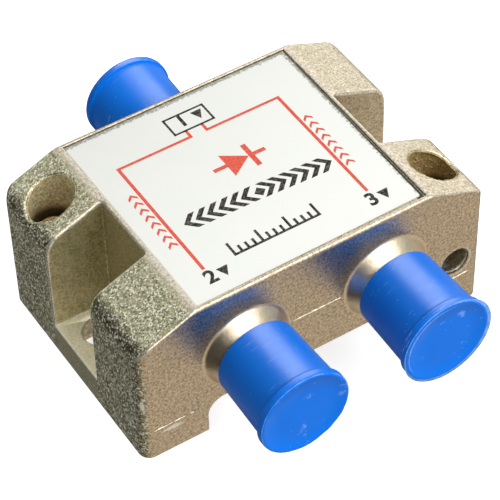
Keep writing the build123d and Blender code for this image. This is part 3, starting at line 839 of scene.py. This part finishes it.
class SPLITTER_OT_flash(SplitterOperator, bpy.types.Operator):
    """Add the flash: beads along the die's parting line and ragged rims in the screw wells"""
    bl_idname = "splitter.flash"
    bl_label = "Parting line and flash"

    def make(self, sizes, colours):
        tree = bead_tree()
        # the beads, rims and grains take the edges' material, painted lighter as a painted highlight
        bright = bpy.data.materials["nickel_edge_burnish_and_painted_highlight"]
        low_z, port_z = sizes.parting_height, PORT_PLACES["input"][1]
        face, turn_x = sizes.face_reach, HOUSING_HIGH.x - sizes.ear_width + 0.3 * MM
        end_x, root = HOUSING_HIGH.x - 1.5 * MM, 6.8 * MM
        front_x = abs(PORT_PLACES["output_left"][0])
        # the line is whole between the outputs and at the back, and worn to stubs on the front ears
        paths = [
            [(front_x - root, -face, port_z), (root - front_x, -face, port_z)],
            [(-end_x, -face, low_z), (-turn_x, -face, low_z), (-turn_x, -face, low_z + 1.6 * MM)],
            [(turn_x + 3.4 * MM, -face, low_z + 0.5 * MM), (end_x - 0.6 * MM, -face, low_z + 0.6 * MM)]]
        for way in (-1, 1):
            paths.append([
                (way * end_x, face, low_z), (way * turn_x, face, low_z), (way * turn_x, face, port_z),
                (way * root, face, port_z)])
        bead(tree, "parting_line", "casting", "nickel_casting", paths, bright,
             radius=sizes.bead_radius, wander=0.08 * MM, grain=0.6 * MM, seed=3)
        for name, radius, wander, seed in (("left", 0.07, 0.05, 4), ("right", 0.15, 0.3, 8)):
            bead(tree, name + "_well_rim", "casting", "nickel_casting", [self.mouth(name, sizes)], bright,
                 radius=radius * MM, wander=wander * MM, grain=0.8 * MM, seed=seed)
        mesh = grow(grit_tree(), path_mesh(self.sinking_path(sizes)), Pitch=0.18 * MM, Spread=0.05 * MM,
                    Rise=0.75 * MM, Size=0.15 * MM, Seed=5, Material=bright)
        piece("right_well_grit", mesh, "casting", "nickel_casting")

    def mouth(self, name, sizes):
        """Closed path along the rim of a screw well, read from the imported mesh."""
        axis = SCREW_AXES[name].xy
        rim = {}
        for vert in NODES["housing"].data.vertices:
            away = vert.co.xy - axis
            if abs(away.length - sizes.well_radius) < NEAR and vert.co.z > sizes.neck_top + MM:
                rim[round(math.degrees(math.atan2(away.y, away.x)))] = vert.co.copy()
        points = [rim[angle] for angle in sorted(rim)]
        return points + points[:1]

    def sinking_path(self, sizes):
        """Path of the right well's grains, which sinks turn by turn below its sloping rim."""
        rim = self.mouth("right", sizes)[:-1]
        turns, depth, start, inset = 4, 5.2 * MM, 0.95 * MM, 0.99
        axis = SCREW_AXES["right"].xy
        path = []
        for i, point in enumerate(rim * turns):
            x, y = axis + (point.xy - axis) * inset
            path.append((x, y, point.z - start - depth * i / (turns * len(rim))))
        return path


class SPLITTER_OT_label(SplitterOperator, bpy.types.Operator):
    """Make the label film and print its lines, numbers and marks"""
    bl_idname = "splitter.label"
    bl_label = "Label and print"

    # every place on the label is in millimetres from the middle of the casting

    def make(self, sizes, colours):
        film_corners = ((-16.33, -15.7), (15.9, -15.35), (16.2, 15.88), (-16.3, 15.88))
        glue_corners = ((15.4, -15.85), (16.3, -15.85), (16.3, 15.85), (15.4, 15.85))
        corner_round, clearance = 0.3, 0.02 * MM
        bm = bmesh.new()
        slab(bm, rounded(film_corners, corner_round), LABEL_LOW.z + clearance,
             LABEL_HIGH.z - LABEL_LOW.z - clearance)
        rims = [edge for edge in bm.edges if edge.calc_face_angle(0) > 1
                and min(v.co.z for v in edge.verts) > LABEL_LOW.z + LOOSE]
        bmesh.ops.bevel(bm, geom=rims, offset=0.05 * MM, segments=2, profile=0.5, affect="EDGES")
        bmesh.ops.recalc_face_normals(bm, faces=bm.faces)
        film = mesh_from(bm, printed_label_film())
        smooth(film)
        piece("label_film", film, "casting", "label_film", "top_label")
        # old glue beside the film: dark, greyish and crusted
        glue = plain_finish("aged_label_adhesive", "#4E4D38", "#2E2D22", 0.4, 0.5, 0.04)
        bm = bmesh.new()
        slab(bm, rounded(glue_corners, corner_round), LABEL_LOW.z - 0.01 * MM, 0.05 * MM)
        self.print_piece("label_adhesive", bm, glue)
        red = screen_ink("red_screen_ink", colours.red_ink)
        black = screen_ink("black_screen_ink", colours.black_ink)
        self.low, self.height = LABEL_HIGH.z - sizes.ink_height / 4, sizes.ink_height
        self.red_lines(red, sizes.red_line / MM)
        self.black_box(black, sizes.black_line / MM)
        self.diode_sign(red)
        self.rows(red, black)
        self.numbers(black)

    def print_piece(self, name, bm, material):
        """Finish a construction as a piece of the label."""
        bmesh.ops.recalc_face_normals(bm, faces=bm.faces)
        piece(name, mesh_from(bm, material), "casting", "label_film")

    def patch(self, bm, *outline):
        """Add a printed patch on a closed outline."""
        slab(bm, outline, self.low, self.height)

    def line(self, bm, start, end, width):
        """Add a straight printed line between two points."""
        start, end = Vector(start), Vector(end)
        side = (end - start).normalized().orthogonal() * width / 2
        self.patch(bm, start - side, end - side, end + side, start + side)

    def red_lines(self, ink, wide):
        """Two routes from the input's box out and down to the outputs."""
        bm = bmesh.new()
        thin = 0.9 * wide
        top, bend, end = 10.2, 8.85, -11.2
        for way, top_x, side_x in ((-1, -2.0, -12.55), (1, 0.35, 10.95)):
            start_x, stop_x = top_x - way * thin / 2, side_x + way * wide / 2
            self.line(bm, (top_x, top), (top_x, bend + thin / 2), thin)
            self.line(bm, (start_x, bend), (stop_x, bend), thin)
            self.line(bm, (side_x, bend - thin / 2), (side_x, end), wide)
        self.print_piece("red_route_lines", bm, ink)

    def black_box(self, ink, width):
        """Outlined box at the input."""
        bm = bmesh.new()
        left, right, low, high = -3.5, 2.2, 10.15, 13.15
        for y in (low, high):
            self.line(bm, (left - width / 2, y), (right + width / 2, y), width)
        for x in (left, right):
            self.line(bm, (x, low), (x, high), width)
        self.print_piece("input_box_outline", bm, ink)

    def diode_sign(self, ink):
        """Generic diode sign in the middle: an arrowhead against a bar, on a broken line."""
        bm = bmesh.new()
        y, half, width = 2.0, 2.1, 0.6
        back, tip, bar_end = -1.0, 2.2, 2.9
        self.patch(bm, (back, y - half), (tip, y), (back, y + half))
        self.patch(bm, (tip, y - half), (bar_end, y - half), (bar_end, y + half), (tip, y + half))
        for start, end in ((-2.9, back), (bar_end, 4.6)):
            self.line(bm, (start, y), (end, y), width)
        self.print_piece("diode_sign", bm, ink)

    def rows(self, red, black):
        """Generic marks in rows: chevrons that point outwards or inwards, and a scale of ticks."""
        tree = row_tree()

        def row(name, shape, count, step, start, ink, every=1, stretch=1.0):
            """Make a piece of evenly spaced copies."""
            mesh = grow(tree, shape, Count=count, Step=Vector(step) * MM, Start=Vector(start) * MM,
                        Every=every, Stretch=stretch, Material=ink)
            piece(name, mesh, "casting", "label_film")

        # direction, size, line, count, step, start
        out, feed_in = (2.6, 0.62, 6), (1.25, 0.32, 8)
        chevrons = (
            ("outward_chevrons_left", (-1, 0), out, (-1.6, 0.03, 0), (-1.9, -3.85, 0), black),
            ("outward_chevrons_right", (1, 0), out, (1.6, -0.09, 0), (1.5, -3.95, 0), black),
            ("feed_chevrons_left", (0, 1), feed_in, (0, 1.35, 0), (-13.6, -5.6, 0), red),
            ("feed_chevrons_right", (0, 1), feed_in, (0, 1.35, 0), (12.0, -5.6, 0), red),
        )
        for name, point, (size, line, count), step, start, ink in chevrons:
            row(name, self.chevron(point, size, line), count, step, start, ink)
        bm = bmesh.new()
        half, tick = 0.18, 1.0
        self.patch(bm, (-half, 0), (half, 0), (half, tick), (-half, tick))
        bmesh.ops.recalc_face_normals(bm, faces=bm.faces)
        row("tick_scale", mesh_from(bm), 13, (1.0, 0, 0), (-8.1, -11.1, 0), black, every=4, stretch=2.0)
        bm = bmesh.new()
        self.line(bm, (-8.3, -11.25), (4.1, -11.25), 0.36)
        self.patch(bm, (-0.8, -4.0), (0, -3.2), (0.8, -4.0), (0, -4.8))
        self.print_piece("scale_base_and_diamond", bm, black)

    def chevron(self, point, size, line):
        """Flat chevron that points along an axis."""
        bm = bmesh.new()
        along, half = Vector(point), size / 2
        across = Vector((-along.y, along.x))
        tip, back = along * half * 0.6, along * line * 1.4
        for way in (-1, 1):
            wing = across * way * half - along * half * 0.4
            self.patch(bm, tip, tip - back, wing - back, wing)
        bmesh.ops.recalc_face_normals(bm, faces=bm.faces)
        return mesh_from(bm)

    def numbers(self, ink):
        """Plain port numbers, each with a small arrow along the signal's way."""
        size, bold, arrow = 2.9 * MM, 0.09 * MM, 1.6
        # number, its lower left corner, and the middle of its arrow
        ports = (("1", -2.2, 11.0, 0.9), ("2", -13.2, -13.6, -10.6), ("3", 9.9, -13.6, 12.5))
        for text, x, y, arrow_x in ports:
            curve = bpy.data.curves.new("number_" + text, "FONT")
            curve.body = text
            curve.size = size
            curve.offset = bold
            curve.extrude = self.height / 2
            mesh = evaluated(in_scene("number_" + text, curve))
            mesh.transform(Matrix.Translation((x * MM, y * MM, self.low + self.height / 2)))
            mesh.materials.clear()
            mesh.materials.append(ink)
            piece("port_number_" + text, mesh, "casting", "label_film")
            bm = bmesh.new()
            self.patch(bm, (arrow_x - arrow / 2, y + arrow), (arrow_x + arrow / 2, y + arrow), (arrow_x, y))
            self.print_piece("flow_arrow_" + text, bm, ink)


class SPLITTER_OT_caps(SplitterOperator, bpy.types.Operator):
    """Mould the three dust caps"""
    bl_idname = "splitter.caps"
    bl_label = "Dust caps"

    def make(self, sizes, colours):
        plastic = moulded_blue_polyethylene()
        # the burrs and the lip are painted paler than the cap and are glossier: a painted highlight along
        # each flange's edge, and painted light through the thin lip
        burr_painted_light = plain_finish("blue_burr_painted_light", "#7FB0F0", "#3F86E6", 0.8, 0.35, 0.01)
        burrs = bead_tree()
        profile = self.profile(sizes)
        rim_radius, rim_depth = sizes.cap_flange - 0.1 * MM, 0.1 * MM
        shiny = bpy.data.collections.new("dust_caps")
        for name, (x, z, side) in PORT_PLACES.items():
            low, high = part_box(name + "_cap")
            open_y, closed_y = (low.y, high.y) if side > 0 else (high.y, low.y)
            mesh = stand_at_port(lathe(profile, 128, plastic), name, open_y)
            shiny.objects.link(piece(name + "_dust_cap", mesh, name + "_cap", "blue_cap", name + "_cap"))
            rim_y = closed_y - side * rim_depth
            ring = [(rim_x, rim_y, rim_z) for rim_x, rim_z in arc((x, z), rim_radius, 0, 360, 72)]
            bead(burrs, name + "_cap_burr", name + "_cap", "blue_cap", [ring], burr_painted_light,
                 radius=0.06 * MM, wander=0.1 * MM, grain=1.5 * MM, seed=6)
        # a thin lip of flash, pressed a little aside, painted pale in the same way
        x, z, side = PORT_PLACES["output_right"]
        inside, outside, high, turn = 5.7 * MM, sizes.cap_flange + 0.25 * MM, 0.16 * MM, 0.05 * MM
        edge = [
            (inside, 0), (outside - turn, 0), (outside, turn), (outside - turn, 0.14 * MM), (inside, high)]
        mesh = lathe(edge, 128, burr_painted_light, closed=True)
        front = Vector((x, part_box("output_right_cap")[0].y, z))
        mesh.transform(Matrix.Translation(front + Vector((0.22, 0.06, -0.2)) * MM))
        smooth(mesh, 50)
        piece("output_right_cap_lip", mesh, "output_right_cap", "blue_cap")

    def profile(self, sizes):
        """Half section of a cap from its open end at 0: bore, lip, tapered tube, flange and dished end."""
        reach = CAP_HIGH.y - CAP_LOW.y
        inner, neck, flange = reach - sizes.cap_end, sizes.cap_neck, sizes.cap_flange
        lip, corner, rim, sunk = 0.2 * MM, 0.16 * MM, 0.28 * MM, 0.07 * MM
        dish = flange - rim - 0.22 * MM
        return [
            (0, inner), (sizes.cap_bore, inner), (sizes.cap_bore, 0.12 * MM),
            *arc((sizes.cap_mouth - lip, lip), lip, -90, 0, 4),
            (neck - 0.05 * MM, inner - 0.35 * MM), (neck + 0.03 * MM, inner - 0.12 * MM),
            (neck + 0.14 * MM, inner), *arc((flange - corner, inner + corner), corner, -90, 0, 4),
            *arc((flange - rim, reach - rim), rim, 0, 90, 6),
            (dish, reach - 0.01 * MM), (dish - 0.1 * MM, reach - sunk),
            (dish * 0.6, reach - sunk), (dish * 0.2, reach - sunk), (0, reach - sunk)]


class SPLITTER_OT_screws(SplitterOperator, bpy.types.Operator):
    """Make the two clamp screws"""
    bl_idname = "splitter.screws"
    bl_label = "Clamp screws"

    def make(self, sizes, colours):
        # rolled steel under a copper flash: a dull pink with darker patches, painted pale and given little
        # metal as painted light in the shade of its well
        copper = plain_finish("coppered_steel", "#FFD9B4", "#CF9C6E", 0.5, 0.35, 0.02, metallic=0.3)
        for name in EARS:
            node = name + "_ground_screw"
            mesh = rounded_copy(node, sizes.screw_round, copper)
            piece(name + "_clamp_screw", mesh, node, "coppered_screw", node)


class SPLITTER_OT_lid(SplitterOperator, bpy.types.Operator):
    """Make the pressed lid under the casting"""
    bl_idname = "splitter.lid"
    bl_label = "Base lid"

    def make(self, sizes, colours):
        # rolled sheet dipped in tin: grey and half bright, in broad soft patches
        tin = plain_finish("tinned_steel_sheet", "#B9B7B0", "#8F8D86", 3.0, 0.34, 0.05, metallic=1.0)
        mesh = rounded_copy("base_lid", sizes.part_round, tin)
        piece("pressed_lid", mesh, "casting", "tinned_steel", "base_lid")


class SPLITTER_OT_circuit(SplitterOperator, bpy.types.Operator):
    """Finish the insulators, contacts and the parts on the circuit board"""
    bl_idname = "splitter.circuit"
    bl_label = "Ports and circuit"

    def make(self, sizes, colours):
        # four rings of lacquer tell a resistor's value, and one marks a diode's cathode
        value_bands = [(0, place, 0.3, "#6A3A1C") for place in (-1.1, -0.5, 0.1, 1.1)]
        cathode_band = [(1, -4.3, 0.45, "#C9C9C6")]
        finishes = {
            # moulded, milky and satin
            "_insulator": plain_finish("moulded_white_acetal", "#E6E5DC", "#D2D1C6", 1.5, 0.45, 0.03),
            # drawn wire, yellow and bright
            "_contact": plain_finish("drawn_brass", "#C9A25A", "#A88442", 0.6, 0.25, 0.01, metallic=1.0),
            # pressed paper in resin, brown with a faint fibre
            "circuit_board": plain_finish("paper_phenolic_laminate", "#8A6034", "#6E4A26", 0.8, 0.5, 0.02),
            # fired powder, dark grey and matt
            "_core": plain_finish("sintered_ferrite", "#3A3A3E", "#27272A", 0.3, 0.6, 0.03),
            # drawn copper under clear enamel, red-brown and glossy
            "_winding": plain_finish(
                "enamelled_copper_wire", "#B4622E", "#8E4A1E", 0.7, 0.22, 0.01, metallic=1.0),
            # dipped disc, ochre with a soft shine
            "_capacitor": plain_finish("dipped_ceramic", "#B8762E", "#9C5F20", 0.9, 0.35, 0.03),
            # dipped body, pale blue and glossy
            "isolation_resistor": plain_finish(
                "resistor_lacquer", "#8FB0C8", "#7A9AB4", 0.5, 0.3, 0.02, bands=value_bands),
            # moulded body, black with a soft shine
            "_diode": plain_finish(
                "moulded_black_epoxy", "#232325", "#161618", 0.5, 0.35, 0.02, bands=cathode_band),
        }
        for node, finish in ((n, f) for n in NODES for end, f in finishes.items() if n.endswith(end)):
            NODES[node].material_slots[0].material = finish


class SPLITTER_OT_stage(SplitterOperator, bpy.types.Operator):
    """Set up the pale light table, the studio light and the camera"""
    bl_idname = "splitter.stage"
    bl_label = "Stage"

    def make(self, sizes, colours):
        self.floor()
        self.world()
        self.lights()
        self.camera()
        bpy.context.scene.view_settings.view_transform = "Standard"

    def floor(self):
        """Matt white paper lit from below, as on a light table."""
        material, add, finish, place = new_material(
            "pale_paper_floor", Roughness=0.9, Emission_Strength=0.75)
        fibre = add("TexNoise", place, Scale=per_metre(40), Detail=3.0)
        paper = add("Mix", fibre, linear("#FBFBFA"), linear("#F8F8F6"), data_type="RGBA")
        finish(Base_Color=paper, Emission_Color=paper)
        bm = bmesh.new()
        bmesh.ops.create_circle(bm, cap_ends=True, segments=96, radius=2.0)
        floor = in_scene("paper_floor", mesh_from(bm, material))
        floor.visible_glossy = floor.visible_diffuse = False
        floor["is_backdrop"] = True

    def world(self):
        """Studio surroundings: each softbox has a direction, inner and outer angle, colour and strength."""
        world = bpy.data.worlds.new("studio")
        world.use_nodes = True
        world.node_tree.nodes.clear()
        add = partial(add_node, world.node_tree)
        way = add("TexCoord").outputs["Generated"]
        total = self.room(add, way)
        softboxes = (
            ((0.74, 0.52, 0.40), 22, 40, "#FFFCF6", 1.45),
            ((-0.27, 0.58, 0.77), 12, 26, "#F6FAF2", 1.0),
            ((0.42, 0.58, 0.70), 12, 25, "#FFFDFA", 1.15),
            ((0.08, -0.58, 0.80), 20, 38, "#FFF9F0", 3.4),
        )
        for aim, inner, outer, code, power in softboxes:
            start, full = math.cos(math.radians(outer)), math.cos(math.radians(inner))
            facing = add("VectorMath", way, Vector(aim).normalized(), operation="DOT_PRODUCT")
            fade = add("MapRange", facing, From_Min=start, From_Max=full, interpolation_type="SMOOTHSTEP")
            light = tuple(c * power for c in linear(code)[:3]) + (1.0,)
            total = add("Mix", fade, total, light, data_type="RGBA")
        # dull surfaces get the even fill of a light tent, and the camera sees its white cloth
        rays = add("LightPath").outputs
        tent = add("Mix", rays["Is Diffuse Ray"], total, linear("#CDCDCD"), data_type="RGBA")
        shown = add("Mix", rays["Is Camera Ray"], tent, linear("#FFFFFF"), data_type="RGBA")
        add("OutputWorld", add("Background", shown, Strength=1.0))
        world.cycles.sampling_method = "NONE"
        bpy.context.scene.world = world

    def room(self, add, way):
        """Grey-green room above a table that is brown in front and dark behind, both full of small things."""
        right, _, height = add("SeparateXYZ", way).outputs
        front = add("VectorMath", way, (0.5, -0.86, 0.0), operation="DOT_PRODUCT")
        lit = add("MapRange", front, From_Min=-0.45, From_Max=0.4)
        table = add("Mix", lit, linear("#707064"), linear("#CEC0AB"), data_type="RGBA")
        above = add("MapRange", height, From_Min=-0.08, From_Max=0.18, interpolation_type="SMOOTHSTEP")
        room = add("Mix", above, table, linear("#B6BBB0"), data_type="RGBA")
        things = add("TexNoise", way, Scale=4.0, Detail=3.0)
        busy = add("MapRange", things, From_Min=0.42, From_Max=0.6, To_Min=0.12, To_Max=2.2)
        # the side that the front face mirrors is clear, the left and back are cluttered
        clear = add("MapRange", front, From_Min=-0.1, From_Max=0.5)
        even = add("Mix", clear, busy, 1.0)
        left_dark = add("MapRange", right, From_Min=-0.72, From_Max=-0.42, To_Min=0.1)
        power = add("Math", even, left_dark, operation="MULTIPLY")
        return add("VectorMath", room, Scale=power, operation="SCALE")

    def lights(self):
        """A key light, and a panel for the broad sheen on the dust caps that nothing else mirrors."""
        caps = bpy.data.collections["dust_caps"]
        # place, size, power, whether it is for the sheen
        panels = (
            ("key_panel", (0.36, -0.45, 0.60), 0.5, 5.2, False),
            ("cap_sheen_panel", (0.38, 0.60, 0.70), 0.8, 34.0, True),
        )
        for name, place, size, power, shines in panels:
            light = bpy.data.lights.new(name, "AREA")
            light.size = size
            light.energy = power
            lamp = in_scene(name, light)
            lamp.location = place
            lamp.rotation_euler = (-Vector(place)).to_track_quat("-Z", "Y").to_euler()
            lamp.visible_glossy = shines
            lamp.visible_diffuse = not shines
            if shines:
                lamp.light_linking.receiver_collection = caps
                lamp.light_linking.blocker_collection = caps

    def camera(self):
        """The photograph's view: place, aim and a slight roll, with a long lens."""
        place = Vector((-103.73, -171.2, 222.3)) * MM
        ahead = Vector((0.3560, 0.5832, -0.7302))
        roll = math.radians(-1.62)
        focal_pixels, frame_pixels, film = 2295, 500, 36
        data = bpy.data.cameras.new("camera")
        data.sensor_width = film
        data.lens = focal_pixels * film / frame_pixels
        data.clip_start = 0.01
        camera = in_scene("camera", data)
        turn = ahead.to_track_quat("-Z", "Y").to_matrix() @ Matrix.Rotation(roll, 3, "Z")
        camera.matrix_world = Matrix.Translation(place) @ turn.to_4x4()
        bpy.context.scene.camera = camera


class SPLITTER_PT_panel(bpy.types.Panel):
    """Buttons, sizes and colours of the splitter"""
    bl_idname = "SPLITTER_PT_panel"
    bl_label = "Coaxial splitter"
    bl_space_type = "VIEW_3D"
    bl_region_type = "UI"
    bl_category = "Splitter"

    def draw(self, context):
        for made in OPERATORS:
            self.layout.operator(made.bl_idname)
        for group in (context.scene.splitter_sizes, context.scene.splitter_colours):
            box = self.layout.box()
            for key in group.__annotations__:
                box.prop(group, key)


OPERATORS = (
    SPLITTER_OT_casting, SPLITTER_OT_roots, SPLITTER_OT_threads, SPLITTER_OT_flash, SPLITTER_OT_label,
    SPLITTER_OT_caps, SPLITTER_OT_screws, SPLITTER_OT_lid, SPLITTER_OT_circuit, SPLITTER_OT_stage)
CLASSES = (SplitterSizes, SplitterColours) + OPERATORS + (SPLITTER_PT_panel,)


def register():
    for made in CLASSES:
        bpy.utils.register_class(made)
    bpy.types.Scene.splitter_sizes = PointerProperty(type=SplitterSizes)
    bpy.types.Scene.splitter_colours = PointerProperty(type=SplitterColours)


def unregister():
    del bpy.types.Scene.splitter_colours
    del bpy.types.Scene.splitter_sizes
    for made in reversed(CLASSES):
        bpy.utils.unregister_class(made)


def main():
    register()
    bpy.ops.splitter.casting()
    bpy.ops.splitter.roots()
    bpy.ops.splitter.threads()
    bpy.ops.splitter.flash()
    bpy.ops.splitter.label()
    bpy.ops.splitter.caps()
    bpy.ops.splitter.screws()
    bpy.ops.splitter.lid()
    bpy.ops.splitter.circuit()
    bpy.ops.splitter.stage()
    boxes = {"cad": CAD_BOX, "visual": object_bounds()}
    {key: [list(corner) for corner in box] for key, box in boxes.items()}


if __name__ == "__main__":
    main()
